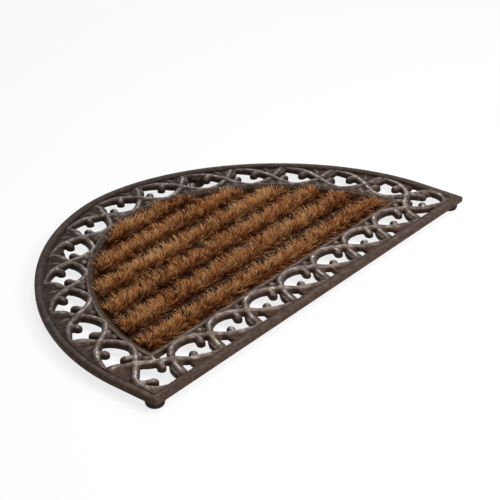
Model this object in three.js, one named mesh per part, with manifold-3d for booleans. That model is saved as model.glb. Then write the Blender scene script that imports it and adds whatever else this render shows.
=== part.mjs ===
// Half-round boot scraper mat: a cast iron openwork frame round six rows of coir bristles.
// The bristles stand on three boards that are screwed under the frame's cross bars, and the
// frame stands on four push-in rubber feet.
// Millimetres. X runs along the straight front edge, Y to the rounded back and Z up.
// Lengths below are measured from the front edge; the whole mat is centred at the end.

import * as THREE from 'three';
import { mergeGeometries, mergeVertices } from 'three/addons/utils/BufferGeometryUtils.js';
import Module from 'manifold-3d';

const wasm = await Module();
wasm.setup();

// Outline of the mat
const WIDTH = 600;
const DEPTH = 370;
const STRAIGHT_SIDE = 64;
const ROUNDNESS = 1.86;
const CURVE_STEPS = 48;
const SHORTEST_SIDE = 1;

// Heights above the floor
const RIM_BOTTOM = 8.5;
const RIM_HEIGHT = 8.5;
const SCROLL_DROP = 0.5;
const SCROLL_HEIGHT = 7.5;
const OVERLAP_RISE = 0.6;
const WEB_HEIGHT = 5;
const CORNER_PLATE_HEIGHT = 6.5;
const INNER_RAIL_DROP = 0.5;
const BAR_HEIGHT = 4.5;
const BRISTLE_RISE = 5;

// Band of scrollwork
const RIM_WIDTH = 11;
const OPENWORK_WIDTH = 49;
const INNER_RAIL_WIDTH = 9;
const FRONT_BAYS = 7;
const CURVE_BAYS = 13;
const FRONT_CORNER = 72.5;
const RIGHT_SIDE_CORNER = 60;
const LEFT_SIDE_CORNER = 64.5;
const RIBBON_WIDTH = 9.6;
const BUD_WIDTH = 16.5;
const BUD_RISE = 1.2;
const FINGER_WIDTH = 8.8;
const KNOB_RADIUS = 5.2;
const KNOB_SIDES = 6;
const RIBBON_STEPS = 6;

// Brush rows, boards and bars
const ROW_COUNT = 6;
const ROWS_PER_BOARD = 2;
const FRONT_ROW_GAP = 16;
const BACK_ROW_GAP = 18.5;
const BAR_WIDTH = 8;
const BAR_TUCK = 2;
const BOARD_THICKNESS = 3.5;
const BACKING_THICKNESS = 1.9;
const BOARD_JOINT = 0.5;
const BOARD_LAP = 7;
const BOARD_END_STEPS = 6;
const LINES_PER_ROW = 3;
const LINE_SPACING = 7.5;
const BRISTLE_STEP = 18.5;
const BRISTLE_ROOT = 2;
const BRISTLE_TIP = 1;
const BRISTLE_SPREAD = 0.35;
const BRISTLE_WANDER = 1.2;
const BRISTLE_SINK = 0.6;
const BRISTLE_END_GAP = 4;

// Fixings and feet
const CLEARANCE = 0.3;
const SCREW_RADIUS = 1.8;
const SCREW_HEAD_RADIUS = 4;
const SCREW_HEAD_HEIGHT = 1.7;
const SCREW_BITE = 3.2;
const SCREW_HEAD_FLAT = 0.7;
const SCREW_SIDES = 8;
const SLOT_WIDTH = 1.1;
const SLOT_DEPTH = 0.8;
const SCREW_END_INSET = 30;
const FOOT_RADIUS = 11;
const FOOT_SOLE_RADIUS = 7.5;
const FOOT_STUB_RADIUS = 3;
const FOOT_STUB_HEIGHT = 4;
const FOOT_EDGE = 0.8;
const FOOT_STUB_EDGE = 1;
const FOOT_SIDES = 12;
const FRONT_FOOT_INSET = 12.5;
const BACK_FOOT_INSET = 16;
const BACK_FOOT_TURN = 0.33;
const BOSS_RADIUS = 10;
const BOSS_ROOF = 1;

// Sizes that follow from the ones above
const HALF_WIDTH = WIDTH / 2;
const BACK_DEPTH = DEPTH - STRAIGHT_SIDE;
const RIM_TOP = RIM_BOTTOM + RIM_HEIGHT;
const SCROLL_TOP = RIM_TOP - SCROLL_DROP;
const SCROLL_BOTTOM = SCROLL_TOP - SCROLL_HEIGHT;
const INNER_RAIL_TOP = RIM_TOP - INNER_RAIL_DROP;
const BAR_TOP = SCROLL_BOTTOM + BAR_HEIGHT;
const BACKING_TOP = SCROLL_BOTTOM - CLEARANCE;
const BACKING_BOTTOM = BACKING_TOP - BACKING_THICKNESS;
const BOARD_TOP = BACKING_BOTTOM - CLEARANCE;
const BOARD_BOTTOM = BOARD_TOP - BOARD_THICKNESS;
const BRISTLE_TOP = RIM_TOP + BRISTLE_RISE;
const INNER_RAIL_START = RIM_WIDTH + OPENWORK_WIDTH;
const BAND_WIDTH = INNER_RAIL_START + INNER_RAIL_WIDTH;
const BAND_MIDDLE = RIM_WIDTH + OPENWORK_WIDTH / 2;
const FIRST_ROW = BAND_WIDTH + FRONT_ROW_GAP;
const LAST_ROW = DEPTH - BAND_WIDTH - BACK_ROW_GAP;
const ROW_PITCH = (LAST_ROW - FIRST_ROW) / (ROW_COUNT - 1);
const FRONT_PITCH = (WIDTH - 2 * FRONT_CORNER) / FRONT_BAYS;

// Finishes
const IRON = { color: 0x4a3e37, roughness: 0.55, metalness: 0.6 };
const COIR = { color: 0x96602f, roughness: 0.95, metalness: 0 };
const WOOD = { color: 0x8a6a48, roughness: 0.8, metalness: 0 };
const STEEL = { color: 0x9a9a98, roughness: 0.4, metalness: 0.9 };
const RUBBER = { color: 0x161514, roughness: 0.85, metalness: 0 };

// Solids from closed geometries, and joins and cuts between them
function toSolid(geometry) {
  const bare = geometry.clone();
  bare.deleteAttribute('normal');
  bare.deleteAttribute('uv');
  const merged = mergeVertices(bare, 1e-5);
  const mesh = new wasm.Mesh({
    numProp: 3,
    vertProperties: Float32Array.from(merged.attributes.position.array),
    triVerts: Uint32Array.from(merged.index.array),
  });
  return new wasm.Manifold(mesh);
}

function toGeometry(solid) {
  const mesh = solid.getMesh();
  const geometry = new THREE.BufferGeometry();
  geometry.setAttribute('position', new THREE.BufferAttribute(mesh.vertProperties, 3));
  geometry.setIndex(new THREE.BufferAttribute(mesh.triVerts, 1));
  return geometry;
}

function joinAll(solids) {
  let list = solids;
  while (list.length > 1) {
    const next = [];
    for (let i = 0; i < list.length; i += 2) {
      next.push(i + 1 < list.length ? list[i].add(list[i + 1]) : list[i]);
    }
    list = next;
  }
  return list[0];
}

// Plate of a plan outline between two heights
function plateGeometry(points, bottom, top, holes = []) {
  const shape = new THREE.Shape(points);
  for (const hole of holes) {
    shape.holes.push(new THREE.Path(hole));
  }
  const geometry = new THREE.ExtrudeGeometry(shape, { depth: top - bottom, bevelEnabled: false });
  geometry.translate(0, 0, bottom);
  return geometry;
}

function plate(points, bottom, top, holes = []) {
  return toSolid(plateGeometry(points, bottom, top, holes));
}

function disc(center, radius, bottom, top, sides) {
  const geometry = new THREE.CylinderGeometry(radius, radius, top - bottom, sides);
  geometry.rotateX(Math.PI / 2);
  geometry.translate(center.x, center.y, (top + bottom) / 2);
  return toSolid(geometry);
}

// Rounded back of the outline, a superellipse from the right side over the back to the left side
function backPoint(turn, inset) {
  const cos = Math.cos(turn);
  const sin = Math.sin(turn);
  const x = Math.sign(cos) * Math.abs(cos) ** (2 / ROUNDNESS);
  const y = Math.abs(sin) ** (2 / ROUNDNESS);
  const normal = new THREE.Vector2(
    Math.sign(x) * Math.abs(x) ** (ROUNDNESS - 1) / HALF_WIDTH,
    y ** (ROUNDNESS - 1) / BACK_DEPTH,
  ).normalize();
  return new THREE.Vector2(
    HALF_WIDTH * x - inset * normal.x,
    STRAIGHT_SIDE + BACK_DEPTH * y - inset * normal.y,
  );
}

// Whole outline moved inwards by an inset, as a closed list of plan points
function insetOutline(inset) {
  const points = [
    new THREE.Vector2(-HALF_WIDTH + inset, inset),
    new THREE.Vector2(HALF_WIDTH - inset, inset),
  ];
  for (let i = 0; i <= CURVE_STEPS; i += 1) {
    const point = backPoint(Math.PI * i / CURVE_STEPS, inset);
    if (point.y > inset + SHORTEST_SIDE) {
      points.push(point);
    }
  }
  return points;
}

// Half the width of an inset outline at a distance from the front edge
function halfWidthAt(inset, y) {
  const points = insetOutline(inset);
  for (let i = 1; i + 1 < points.length; i += 1) {
    const a = points[i];
    const b = points[i + 1];
    if (a.y <= y && y <= b.y && a.x > 0) {
      return a.x + (b.x - a.x) * (y - a.y) / (b.y - a.y);
    }
  }
  return 0;
}

// Walk along the middle of the band, up the right side, over the back and down the left side
const WALK_STEPS = 400;
const walk = [];
for (let i = 0; i <= WALK_STEPS; i += 1) {
  const turn = Math.PI * i / WALK_STEPS;
  const point = backPoint(turn, BAND_MIDDLE);
  const before = walk[i - 1];
  const length = before ? before.length + point.distanceTo(before.point) : STRAIGHT_SIDE;
  walk.push({ turn, point, length });
}
const WALK_END = walk[WALK_STEPS].length;
const WALK_TOTAL = WALK_END + STRAIGHT_SIDE;
const CURVE_PITCH = (WALK_TOTAL - RIGHT_SIDE_CORNER - LEFT_SIDE_CORNER) / CURVE_BAYS;

function walkPoint(length, inset) {
  if (length <= STRAIGHT_SIDE) {
    return new THREE.Vector2(HALF_WIDTH - inset, length);
  }
  if (length >= WALK_END) {
    return new THREE.Vector2(-HALF_WIDTH + inset, WALK_TOTAL - length);
  }
  const i = walk.findIndex((step) => step.length >= length);
  const a = walk[i - 1];
  const b = walk[i];
  const share = (length - a.length) / (b.length - a.length);
  return backPoint(a.turn + share * (b.turn - a.turn), inset);
}

// A bay's own coordinates: u counts bays from the bay's middle, v runs from rim to inner rail
function frontBay(x) {
  return ([u, v]) => new THREE.Vector2(x + u * FRONT_PITCH, RIM_WIDTH + v * OPENWORK_WIDTH);
}

function curveBay(length) {
  return ([u, v]) => walkPoint(length + u * CURVE_PITCH, RIM_WIDTH + v * OPENWORK_WIDTH);
}

// A corner's own coordinates: p runs along the front rim and q along the side rim
function corner(side) {
  return ([p, q]) => new THREE.Vector2(
    side * (HALF_WIDTH - RIM_WIDTH - p * OPENWORK_WIDTH),
    RIM_WIDTH + q * OPENWORK_WIDTH,
  );
}

// The scroll motif in bay coordinates
const CROSS = 0.59;
const RISE_LOW = [[-0.7, -0.05], [-0.638, 0.286]];
const RISE_HIGH = [[-0.5, CROSS], [-0.36, 0.776], [-0.19, 0.949], [0.03, 1.05]];
const FALL_HIGH = [[-0.06, 1.04], [0.12, 0.955], [0.31, 0.806], [0.5, CROSS]];
const FALL_LOW = [[0.69, 0.33], [0.83, 0.2], [1, 0.1], [1.25, 0]];
const BUD = [[-0.72, 0.03], [-0.69, 0.13], [-0.645, 0.29], [-0.575, 0.45], [-0.52, 0.56]];
const BUD_SHAPE = [0.8, 0.95, 1, 0.75, 0.45];
const OUTER_FINGER = [[-0.28, 0.2], [-0.21, 0.275], [-0.13, 0.41]];
const INNER_FINGER = [[0.33, 0.84], [0.285, 0.73], [0.225, 0.585]];

// Low webs that fill a bay's corners between the ribbons, in bay coordinates
const RAIL_WEB = [[0.02, 1.04], [0.6, 1.04], [0.58, 0.88], [0.5, 0.6], [0.3, 0.8]];
const FIRST_RAIL_WEB = [[-0.66, 1.04], [-0.4, 1.04], [-0.42, 0.88], [-0.5, 0.6], [-0.71, 0.85]];
const BUD_WEB = [[-0.6, 0.5], [-0.47, 0.55], [-0.38, 0.4], [-0.5, 0.3]];
const CURVE_WEB = [[-0.6, -0.05], [-0.3, -0.05], [-0.3, 0.34], [-0.46, 0.5], [-0.58, 0.4]];
const RIM_WEB = [[-0.37, -0.05], [0.26, -0.05], [0.02, 0.1], [-0.16, 0.2], [-0.3, 0.32], [-0.38, 0.2]];

// The two corners in their own coordinates
const CORNER_TIE = [[0.93, 0.84]];
const LEFT_RING = [
  [0.347, 0.878], [0.143, 0.694], [0.04, 0.469], [0.08, 0.245], [0.245, 0.08], [0.51, -0.05],
];
const RIGHT_RING = [[0.42, -0.05], [0.163, 0.1], [0.04, 0.286], [0.01, 0.51], [0.1, 0.74]];
const LEFT_OUTER_FINGER = [[0.1, 0.59], [0.204, 0.449], [0.367, 0.337]];
const LEFT_INNER_FINGER = [[1.02, 0.85], [0.98, 0.735], [0.9, 0.6]];
const RIGHT_OUTER_FINGER = [[0.96, 0.2], [0.867, 0.275], [0.765, 0.408]];
const RIGHT_INNER_FINGER = [[0.5, 0.95], [0.44, 0.8], [0.367, 0.66]];
const CORNER_PLATE = [[-0.05, -0.05], [0.5, -0.05], [0.2, 0.12], [0.08, 0.3], [-0.05, 0.5]];
const CORNER_LINK = [[0.93, 0.84], [1.04, 1.04]];

// Ribbon of varying width along plan points
function ribbonOutline(points, widths, count) {
  const spline = new THREE.SplineCurve(points);
  const left = [];
  const right = [];
  for (let i = 0; i <= count; i += 1) {
    const share = i / count;
    const center = spline.getPoint(share);
    const along = spline.getTangent(share);
    const slot = share * (widths.length - 1);
    const low = Math.min(Math.floor(slot), widths.length - 2);
    const half = THREE.MathUtils.lerp(widths[low], widths[low + 1], slot - low) / 2;
    left.push(new THREE.Vector2(center.x - along.y * half, center.y + along.x * half));
    right.push(new THREE.Vector2(center.x + along.y * half, center.y - along.x * half));
  }
  return left.concat(right.reverse());
}

function ribbon(points, rise = 0, steps = RIBBON_STEPS) {
  const outline = ribbonOutline(points, [RIBBON_WIDTH, RIBBON_WIDTH], steps);
  return plate(outline, SCROLL_BOTTOM, SCROLL_TOP + rise);
}

function bud(points) {
  const widths = BUD_SHAPE.map((share) => share * BUD_WIDTH);
  const outline = ribbonOutline(points, widths, points.length - 1);
  return plate(outline, SCROLL_BOTTOM, SCROLL_TOP + BUD_RISE);
}

function finger(points) {
  const stem = plate(
    ribbonOutline(points, [FINGER_WIDTH, FINGER_WIDTH], points.length - 1),
    SCROLL_BOTTOM,
    SCROLL_TOP,
  );
  const tip = points[points.length - 1];
  return stem.add(disc(tip, KNOB_RADIUS, SCROLL_BOTTOM, SCROLL_TOP + OVERLAP_RISE / 2, KNOB_SIDES));
}

function web(points) {
  return plate(points, SCROLL_BOTTOM, SCROLL_BOTTOM + WEB_HEIGHT);
}

// One whole bay: two crossing ribbons, a bud, two ball-ended fingers and two webs
function bay(place, riseLow, fallLow) {
  return [
    ...[RAIL_WEB, RIM_WEB].map((points) => web(points.map(place))),
    ribbon([...riseLow, ...RISE_HIGH.map(place)]),
    ribbon([...FALL_HIGH.map(place), ...fallLow], OVERLAP_RISE),
    bud(BUD.map(place)),
    finger(OUTER_FINGER.map(place)),
    finger(INNER_FINGER.map(place)),
  ];
}

function makeScrollwork() {
  const pieces = [];
  const leftCorner = corner(-1);
  const rightCorner = corner(1);
  const firstFront = -HALF_WIDTH + FRONT_CORNER + FRONT_PITCH / 2;
  const firstCurve = RIGHT_SIDE_CORNER + CURVE_PITCH / 2;
  for (let i = 0; i < FRONT_BAYS; i += 1) {
    const place = frontBay(firstFront + i * FRONT_PITCH);
    pieces.push(...bay(place, RISE_LOW.map(place), FALL_LOW.map(place)), web(BUD_WEB.map(place)));
  }
  pieces.push(web(FIRST_RAIL_WEB.map(frontBay(firstFront))));
  pieces.push(web(FIRST_RAIL_WEB.map(curveBay(firstCurve))));
  for (let i = 0; i < CURVE_BAYS; i += 1) {
    const place = curveBay(firstCurve + i * CURVE_PITCH);
    const riseLow = i === 0 ? RIGHT_RING.map(rightCorner) : RISE_LOW.map(place);
    const fallLow = i === CURVE_BAYS - 1 ? LEFT_RING.map(leftCorner) : FALL_LOW.map(place);
    pieces.push(...bay(place, riseLow, fallLow), web(CURVE_WEB.map(place)));
  }
  const beforeFront = frontBay(firstFront - FRONT_PITCH);
  const afterFront = frontBay(firstFront + FRONT_BAYS * FRONT_PITCH);
  const beforeCurve = curveBay(firstCurve - CURVE_PITCH);
  const afterCurve = curveBay(firstCurve + CURVE_BAYS * CURVE_PITCH);
  const leftTie = [
    ...RISE_LOW.map(afterCurve),
    afterCurve([-0.5, CROSS]),
    ...CORNER_TIE.map(leftCorner),
    beforeFront([0.5, CROSS]),
    ...FALL_LOW.map(beforeFront),
  ];
  const rightTie = [
    ...RISE_LOW.map(afterFront),
    afterFront([-0.5, CROSS]),
    ...CORNER_TIE.map(rightCorner),
    beforeCurve([0.5, CROSS]),
    ...FALL_LOW.map(beforeCurve),
  ];
  pieces.push(
    ribbon(leftTie, OVERLAP_RISE, 2 * RIBBON_STEPS),
    ribbon(rightTie, OVERLAP_RISE, 2 * RIBBON_STEPS),
    bud(BUD.map(afterCurve)),
    web(CURVE_WEB.map(afterCurve)),
    bud(BUD.map(afterFront)),
    finger(LEFT_OUTER_FINGER.map(leftCorner)),
    finger(LEFT_INNER_FINGER.map(leftCorner)),
    finger(RIGHT_OUTER_FINGER.map(rightCorner)),
    finger(RIGHT_INNER_FINGER.map(rightCorner)),
  );
  for (const place of [leftCorner, rightCorner]) {
    pieces.push(ribbon(CORNER_LINK.map(place)));
    pieces.push(
      plate(CORNER_PLATE.map(place), RIM_BOTTOM, RIM_BOTTOM + CORNER_PLATE_HEIGHT),
    );
  }
  return pieces;
}

// Places of the bars, boards, screws and feet
function rowY(row) {
  return FIRST_ROW + row * ROW_PITCH;
}

function barY(bar) {
  return rowY(bar) + ROW_PITCH / 2;
}

const BOARD_COUNT = ROW_COUNT / ROWS_PER_BOARD;

function screwPlaces(board) {
  const y = barY(board * ROWS_PER_BOARD);
  const end = halfWidthAt(BAND_WIDTH, y) - SCREW_END_INSET;
  return [-end, 0, end].map((x) => new THREE.Vector2(x, y));
}

const backFoot = backPoint(Math.PI / 2 - BACK_FOOT_TURN * Math.PI / 2, BACK_FOOT_INSET);
const FOOT_PLACES = {
  foot_front_left: new THREE.Vector2(-HALF_WIDTH + FRONT_FOOT_INSET, FRONT_FOOT_INSET),
  foot_front_right: new THREE.Vector2(HALF_WIDTH - FRONT_FOOT_INSET, FRONT_FOOT_INSET),
  foot_back_left: new THREE.Vector2(-backFoot.x, backFoot.y),
  foot_back_right: backFoot,
};

// Cast iron frame in one piece
function makeFrame() {
  const rim = plate(insetOutline(0), RIM_BOTTOM, RIM_TOP, [insetOutline(RIM_WIDTH)]);
  const innerRail = plate(
    insetOutline(INNER_RAIL_START),
    SCROLL_BOTTOM,
    INNER_RAIL_TOP,
    [insetOutline(BAND_WIDTH)],
  );
  const pieces = [rim, innerRail, ...makeScrollwork()];
  for (let bar = 0; bar < ROW_COUNT - 1; bar += 1) {
    const y = barY(bar);
    const low = halfWidthAt(BAND_WIDTH, y - BAR_WIDTH / 2) + BAR_TUCK;
    const high = halfWidthAt(BAND_WIDTH, y + BAR_WIDTH / 2) + BAR_TUCK;
    pieces.push(plate([
      new THREE.Vector2(-low, y - BAR_WIDTH / 2),
      new THREE.Vector2(low, y - BAR_WIDTH / 2),
      new THREE.Vector2(high, y + BAR_WIDTH / 2),
      new THREE.Vector2(-high, y + BAR_WIDTH / 2),
    ], SCROLL_BOTTOM, BAR_TOP));
  }
  const bossTop = RIM_BOTTOM + FOOT_STUB_HEIGHT + BOSS_ROOF;
  for (const side of ['foot_back_left', 'foot_back_right']) {
    pieces.push(disc(FOOT_PLACES[side], BOSS_RADIUS, RIM_BOTTOM, bossTop, FOOT_SIDES));
  }
  let solid = joinAll(pieces);
  for (const place of Object.values(FOOT_PLACES)) {
    const top = RIM_BOTTOM + FOOT_STUB_HEIGHT;
    solid = solid.subtract(disc(place, FOOT_STUB_RADIUS + CLEARANCE, 0, top, SCREW_SIDES));
  }
  for (let board = 0; board < BOARD_COUNT; board += 1) {
    for (const place of screwPlaces(board)) {
      const top = SCROLL_BOTTOM + SCREW_BITE + CLEARANCE;
      solid = solid.subtract(disc(place, SCREW_RADIUS + CLEARANCE, 0, top, SCREW_SIDES));
    }
  }
  return toGeometry(solid);
}

// Outline of one board's strip, its ends under the inner rail
function boardOutline(board) {
  const front = rowY(board * ROWS_PER_BOARD) - ROW_PITCH / 2 + BOARD_JOINT / 2;
  const back = front + ROWS_PER_BOARD * ROW_PITCH - BOARD_JOINT;
  const inset = BAND_WIDTH - BOARD_LAP;
  const right = [];
  for (let i = 0; i <= BOARD_END_STEPS; i += 1) {
    const y = front + (back - front) * i / BOARD_END_STEPS;
    right.push(new THREE.Vector2(halfWidthAt(inset, y), y));
  }
  const left = right.map((point) => new THREE.Vector2(-point.x, point.y)).reverse();
  return right.concat(left);
}

function drill(solid, board) {
  let drilled = solid;
  for (const place of screwPlaces(board)) {
    drilled = drilled.subtract(
      disc(place, SCREW_RADIUS + CLEARANCE, 0, BRISTLE_TOP, SCREW_SIDES),
    );
  }
  return drilled;
}

function makeBoard(board) {
  return toGeometry(drill(plate(boardOutline(board), BOARD_BOTTOM, BOARD_TOP), board));
}

// Repeatable wander between -1 and 1
function wander(seed) {
  const value = Math.sin(seed * 127.1 + 311.7) * 43758.5453;
  return 2 * (value - Math.floor(value)) - 1;
}

// One bristle: a three-sided taper from the backing to its tip
function bristle(root, tip, turn) {
  const corners = [0, 1, 2].map((i) => {
    const angle = turn + 2 * Math.PI * i / 3;
    return new THREE.Vector2(Math.cos(angle), Math.sin(angle));
  });
  const geometry = plateGeometry(corners, 0, 1);
  const position = geometry.attributes.position;
  const bottom = BACKING_TOP - BRISTLE_SINK;
  for (let i = 0; i < position.count; i += 1) {
    const share = position.getZ(i);
    const radius = THREE.MathUtils.lerp(BRISTLE_ROOT, BRISTLE_TIP, share);
    position.setXYZ(
      i,
      position.getX(i) * radius + THREE.MathUtils.lerp(root.x, tip.x, share),
      position.getY(i) * radius + THREE.MathUtils.lerp(root.y, tip.y, share),
      THREE.MathUtils.lerp(bottom, BRISTLE_TOP, share),
    );
  }
  return geometry;
}

function rowBristles(row) {
  const bristles = [];
  for (let line = 0; line < LINES_PER_ROW; line += 1) {
    const across = (line - (LINES_PER_ROW - 1) / 2) * LINE_SPACING;
    const y = rowY(row) + across;
    const fan = across * BRISTLE_SPREAD;
    const outermost = y + Math.max(0, fan) + BRISTLE_ROOT;
    const end = halfWidthAt(BAND_WIDTH, outermost) - BRISTLE_END_GAP;
    const count = Math.max(1, Math.floor(2 * end / BRISTLE_STEP));
    for (let i = 0; i <= count; i += 1) {
      const seed = row * 1000 + line * 300 + i;
      const x = -end + 2 * end * i / count;
      const lean = Math.abs(x) < end - BRISTLE_STEP / 2 ? BRISTLE_WANDER * wander(seed) : 0;
      const root = new THREE.Vector2(x, y);
      const tip = new THREE.Vector2(x + lean, y + fan);
      bristles.push(bristle(root, tip, Math.PI * wander(seed + 0.5)));
    }
  }
  return bristles;
}

let bristleCount = 0;

function makeCoir(board) {
  const bristles = [];
  for (let i = 0; i < ROWS_PER_BOARD; i += 1) {
    bristles.push(...rowBristles(board * ROWS_PER_BOARD + i));
  }
  bristleCount += bristles.length;
  const backing = plate(boardOutline(board), BACKING_BOTTOM, BACKING_TOP);
  return toGeometry(drill(backing, board).add(toSolid(mergeGeometries(bristles))));
}

// Pan-head screw from below, its head under the board and its point in the bar
function makeScrew(place) {
  const headTop = BOARD_BOTTOM - CLEARANCE;
  const headBottom = headTop - SCREW_HEAD_HEIGHT;
  const point = SCROLL_BOTTOM + SCREW_BITE;
  const profile = [
    new THREE.Vector2(0, headBottom),
    new THREE.Vector2(SCREW_HEAD_RADIUS * SCREW_HEAD_FLAT, headBottom),
    new THREE.Vector2(SCREW_HEAD_RADIUS, headBottom + SCREW_HEAD_HEIGHT * 0.5),
    new THREE.Vector2(SCREW_HEAD_RADIUS, headTop),
    new THREE.Vector2(SCREW_RADIUS, headTop),
    new THREE.Vector2(SCREW_RADIUS, point - SCREW_RADIUS),
    new THREE.Vector2(0, point),
  ];
  const turned = new THREE.LatheGeometry(profile, SCREW_SIDES);
  turned.rotateX(Math.PI / 2);
  const slot = new THREE.BoxGeometry(2 * SCREW_HEAD_RADIUS + 1, SLOT_WIDTH, 2 * SLOT_DEPTH);
  slot.translate(0, 0, headBottom);
  const geometry = toGeometry(toSolid(turned).subtract(toSolid(slot)));
  geometry.translate(place.x, place.y, 0);
  return geometry;
}

// Push-in rubber foot: a domed stub with a shank that sits in the casting
function makeFoot(place) {
  const shoulder = RIM_BOTTOM - CLEARANCE;
  const stubTop = shoulder + FOOT_STUB_HEIGHT;
  const profile = [
    new THREE.Vector2(0, 0),
    new THREE.Vector2(FOOT_SOLE_RADIUS, 0),
    new THREE.Vector2((FOOT_SOLE_RADIUS + FOOT_RADIUS) / 2 + FOOT_EDGE, shoulder * 0.18),
    new THREE.Vector2(FOOT_RADIUS, shoulder * 0.5),
    new THREE.Vector2(FOOT_RADIUS, shoulder * 0.85),
    new THREE.Vector2(FOOT_RADIUS - FOOT_EDGE, shoulder),
    new THREE.Vector2(FOOT_STUB_RADIUS, shoulder),
    new THREE.Vector2(FOOT_STUB_RADIUS, stubTop - FOOT_STUB_EDGE),
    new THREE.Vector2(FOOT_STUB_RADIUS - FOOT_STUB_EDGE, stubTop),
    new THREE.Vector2(0, stubTop),
  ];
  const geometry = new THREE.LatheGeometry(profile, FOOT_SIDES);
  geometry.rotateX(Math.PI / 2);
  geometry.translate(place.x, place.y, 0);
  return geometry;
}

// The assembly, centred over its own outline
const mat = new THREE.Group();
mat.position.y = -DEPTH / 2;

function addPart(name, geometry, finish) {
  const mesh = new THREE.Mesh(geometry, new THREE.MeshStandardMaterial(finish));
  mesh.name = name;
  mat.add(mesh);
}

addPart('cast_frame', makeFrame(), IRON);
const BOARD_NAMES = ['front', 'middle', 'back'];
for (let board = 0; board < BOARD_COUNT; board += 1) {
  const label = BOARD_NAMES[board] ?? `extra_${board}`;
  addPart(`brush_board_${label}`, makeBoard(board), WOOD);
  addPart(`coir_bristles_${label}`, makeCoir(board), COIR);
  const sides = ['left', 'middle', 'right'];
  screwPlaces(board).forEach((place, i) => {
    addPart(`screw_${label}_${sides[i]}`, makeScrew(place), STEEL);
  });
}
for (const [name, place] of Object.entries(FOOT_PLACES)) {
  addPart(name, makeFoot(place), RUBBER);
}
console.log(`bristles: ${bristleCount}`);

export default mat;
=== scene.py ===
# %% [markdown]
# # A half-round iron scraper mat
# One iron casting carries six rows of coir brush. It has a rim, a band of openwork scrolls, an
# inner rail and cross bars, and it stands on four rubber feet. The construction is a CAD frame
# in metres, with X along the straight front edge, Y towards the rounded back and Z up.
# This lesson gives each piece its finished shape and surface, in the place the frame holds.

# %% Load the CAD frame
import math
from functools import partialmethod

import bmesh
import bpy
import numpy as np
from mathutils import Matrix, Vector


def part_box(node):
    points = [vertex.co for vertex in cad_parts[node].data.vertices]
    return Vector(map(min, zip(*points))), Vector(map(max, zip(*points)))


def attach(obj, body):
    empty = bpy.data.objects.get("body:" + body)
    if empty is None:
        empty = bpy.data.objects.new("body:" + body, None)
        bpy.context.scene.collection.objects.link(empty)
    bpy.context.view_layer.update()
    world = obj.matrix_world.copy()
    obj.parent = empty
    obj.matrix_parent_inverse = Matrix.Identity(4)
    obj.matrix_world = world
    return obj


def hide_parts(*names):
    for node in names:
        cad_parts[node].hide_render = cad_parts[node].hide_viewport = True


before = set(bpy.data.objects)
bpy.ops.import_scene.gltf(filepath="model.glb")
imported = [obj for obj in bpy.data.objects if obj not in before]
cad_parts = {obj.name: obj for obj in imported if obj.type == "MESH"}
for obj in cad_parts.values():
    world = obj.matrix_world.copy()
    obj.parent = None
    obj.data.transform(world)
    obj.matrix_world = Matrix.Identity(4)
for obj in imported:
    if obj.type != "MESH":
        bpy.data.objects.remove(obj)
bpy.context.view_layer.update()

# %% [markdown]
# ## Camera
# The camera stands where the photograph was taken from: to the left of the straight edge,
# looking down over the near corner. A long lens keeps the far end of the mat nearly as large
# as the near one. Its place is in metres, its angles in degrees, lens and sensor in millimetres.

# %% Camera
CAMERA_PLACE = (-1.2749, -1.0930, 0.9317)
CAMERA_TILT = 61.02
CAMERA_TURN = -51.26
CAMERA_LENS = 111.25
CAMERA_SENSOR = 36


def link(thing):
    """Puts a new object into the scene."""
    bpy.context.scene.collection.objects.link(thing)
    return thing


camera = link(bpy.data.objects.new("camera", bpy.data.cameras.new("camera")))
camera.location = CAMERA_PLACE
camera.rotation_euler = (math.radians(CAMERA_TILT), 0, math.radians(CAMERA_TURN))
camera.data.lens = CAMERA_LENS
camera.data.sensor_width = CAMERA_SENSOR
camera.data.dof.use_dof = False
bpy.context.scene.camera = camera
print("camera", [round(math.degrees(a), 1) for a in camera.rotation_euler])

# %% [markdown]
# ## Sizes
# The frame's boxes give the mat's width, depth and heights, so nothing drifts from the CAD.
# What the boxes can't say, such as the width of the rim, is written here in millimetres. Plan
# places are measured from the middle of the front edge, as a foundry drawing would do it.

# %% Sizes
MM = 0.001
iron_low, iron_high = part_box("cast_frame")
coir_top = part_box("coir_bristles_front")[1].z
HALF_WIDTH = (iron_high.x - iron_low.x) / 2
DEPTH = iron_high.y - iron_low.y
FRONT = iron_low.y
STRAIGHT_SIDE = 64 * MM
BACK_DEPTH = DEPTH - STRAIGHT_SIDE
ROUNDNESS = 1.86

RIM_BOTTOM = iron_low.z
SCROLL_BOTTOM = RIM_BOTTOM + 0.5 * MM
RIM_WIDTH = 11 * MM
OPENWORK = 49 * MM
RAIL_START = RIM_WIDTH + OPENWORK
BAND_WIDTH = RAIL_START + 9 * MM
BAND_MIDDLE = RIM_WIDTH + OPENWORK / 2

ROW_COUNT = 6
FIRST_ROW = BAND_WIDTH + 16 * MM
LAST_ROW = DEPTH - BAND_WIDTH - 18.5 * MM
ROW_PITCH = (LAST_ROW - FIRST_ROW) / (ROW_COUNT - 1)
print("row pitch, mm:", round(ROW_PITCH / MM, 2))

# %% [markdown]
# ## The outline as a formula
# The back of the mat is fuller than an ellipse, so it is a superellipse. Moving each point in
# along its normal gives a true parallel curve, which is what a pattern maker's gauge draws.
# Every rail, board and scroll is placed with these few functions.

# %% Outline functions
OUTLINE_STEPS = 150
HALF_STEPS = 800
SEARCH_STEPS = 4000
WALK_STEPS = 401
SIDE_STEP = 2 * MM


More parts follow.
